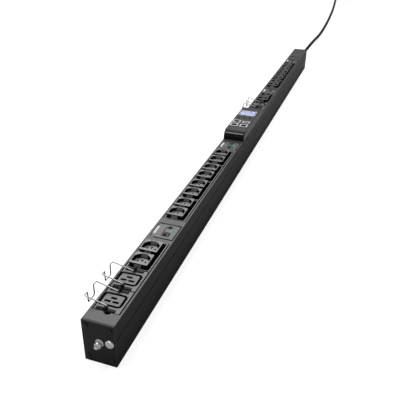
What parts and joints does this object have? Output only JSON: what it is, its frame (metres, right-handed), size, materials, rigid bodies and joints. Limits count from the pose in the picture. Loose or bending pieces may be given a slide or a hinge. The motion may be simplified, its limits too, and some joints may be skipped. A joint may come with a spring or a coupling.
{
  "type": "rack power distribution unit",
  "caption": "Long black vertical rack power strip with rows of C13 and C19 outlets, wire plug bails, branch breakers, a raised meter with a small screen and ports, and an input cord.",
  "frame": {"origin": "centre of the flat back, in the plane of the back", "axes": "+X across the bar, +Y along the bar towards the cord, +Z out of the outlet face"},
  "size_m": [0.1513, 4.208, 0.0996],
  "materials": {
    "satin_black": "satin powder coat",
    "cover_black": "satin powder coat",
    "black_steel": "black oxide screws",
    "zinc_steel": "zinc plated",
    "bright_wire": "bright drawn wire",
    "nylon_black": "moulded nylon",
    "outlet_large": "moulded nylon, dark grey",
    "outlet_small": "moulded nylon, black",
    "rocker_black": "moulded",
    "label_white": "blank plate",
    "spring_brass": "contact alloy",
    "bus_copper": "plain copper",
    "insulator": "moulded insulator",
    "housing": "moulded, fine texture",
    "board_green": "glass board",
    "screen_lit": "lit panel",
    "window_clear": "clear window",
    "button_grey": "moulded",
    "jack_black": "moulded",
    "jack_shield": "tinned sleeve",
    "cord_black": "jacket",
    "core_brown": "core insulation",
    "plug_blue": "moulded"
  },
  "bodies": {
    "bar": {"back_channel": "satin_black", "bail_lugs": "nylon_black", "board_posts": "insulator", "breaker_bezels": "nylon_black", "breaker_bodies": "nylon_black", "breaker_links": "bus_copper", "busbar_supports": "insulator", "button_switches": "nylon_black", "cap_screws": "black_steel", "controller_board": "board_green", "controller_housing": "housing", "cord_coil": "cord_black", "cord_lead": "cord_black", "cord_tail": "cord_black", "cord_tie": "nylon_black", "earth_busbar": "bus_copper", "earth_nut": "zinc_steel", "earth_screw": "zinc_steel", "earth_stud": "zinc_steel", "earth_washers": "zinc_steel", "end_frames": "satin_black", "far_end_cap": "satin_black", "feed_busbar": "bus_copper", "front_cover": "cover_black", "gland_body": "nylon_black", "gland_locknut": "nylon_black", "input_cores": "core_brown", "input_cover": "cover_black", "jack_shields": "jack_shield", "label_plates": "label_white", "large_outlets": "outlet_large", "line_busbars": "bus_copper", "mounting_inserts": "zinc_steel", "near_end_cap": "satin_black", "network_jacks": "jack_black", "neutral_busbar": "bus_copper", "outlet_contacts": "spring_brass", "plug_body": "plug_blue", "plug_pins": "spring_brass", "screen_module": "screen_lit", "screen_window": "window_clear", "small_outlets_bank_1": "outlet_small", "small_outlets_bank_2": "outlet_small", "small_outlets_bank_3": "outlet_small", "small_outlets_bank_4": "outlet_small", "terminal_block": "insulator", "terminal_screws": "zinc_steel", "usb_jack": "jack_black"},
    "bail_1": {"plug_bail_1": "bright_wire"},
    "bail_2": {"plug_bail_2": "bright_wire"},
    "bail_3": {"plug_bail_3": "bright_wire"},
    "bail_4": {"plug_bail_4": "bright_wire"},
    "rocker_1": {"breaker_rocker_1": "rocker_black"},
    "rocker_2": {"breaker_rocker_2": "rocker_black"},
    "rocker_3": {"breaker_rocker_3": "rocker_black"},
    "rocker_4": {"breaker_rocker_4": "rocker_black"},
    "button_1": {"control_button_1": "button_grey"},
    "button_2": {"control_button_2": "button_grey"},
    "button_3": {"control_button_3": "button_grey"}
  },
  "joints": [
    {"name": "bail_1_hinge", "type": "hinge", "parent": "bar", "child": "bail_1", "pos_m": [-0.002, -0.8238, 0.0798], "axis": [0, 1, 0], "range_deg": [-16, 168]},
    {"name": "bail_2_hinge", "type": "hinge", "parent": "bar", "child": "bail_2", "pos_m": [-0.002, -0.7714, 0.0798], "axis": [0, 1, 0], "range_deg": [-16, 168]},
    {"name": "bail_3_hinge", "type": "hinge", "parent": "bar", "child": "bail_3", "pos_m": [-0.002, 0.0596, 0.0798], "axis": [0, 1, 0], "range_deg": [-16, 168]},
    {"name": "bail_4_hinge", "type": "hinge", "parent": "bar", "child": "bail_4", "pos_m": [-0.002, 0.112, 0.0798], "axis": [0, 1, 0], "range_deg": [-16, 168]},
    {"name": "rocker_1_hinge", "type": "hinge", "parent": "bar", "child": "rocker_1", "pos_m": [0.0035, -0.6255, 0.071], "axis": [1, 0, 0], "range_deg": [0, 16]},
    {"name": "rocker_2_hinge", "type": "hinge", "parent": "bar", "child": "rocker_2", "pos_m": [0.0035, -0.2145, 0.071], "axis": [1, 0, 0], "range_deg": [0, 16]},
    {"name": "rocker_3_hinge", "type": "hinge", "parent": "bar", "child": "rocker_3", "pos_m": [0.0035, 0.2565, 0.071], "axis": [1, 0, 0], "range_deg": [0, 16]},
    {"name": "rocker_4_hinge", "type": "hinge", "parent": "bar", "child": "rocker_4", "pos_m": [0.0035, 0.6645, 0.071], "axis": [1, 0, 0], "range_deg": [0, 16]},
    {"name": "button_1_press", "type": "slide", "parent": "bar", "child": "button_1", "axis": [0, 0, -1], "range_m": [0, 0.0006], "stiffness_N_per_m": 200},
    {"name": "button_2_press", "type": "slide", "parent": "bar", "child": "button_2", "axis": [0, 0, -1], "range_m": [0, 0.0006], "stiffness_N_per_m": 200},
    {"name": "button_3_press", "type": "slide", "parent": "bar", "child": "button_3", "axis": [0, 0, -1], "range_m": [0, 0.0006], "stiffness_N_per_m": 200}
  ]
}
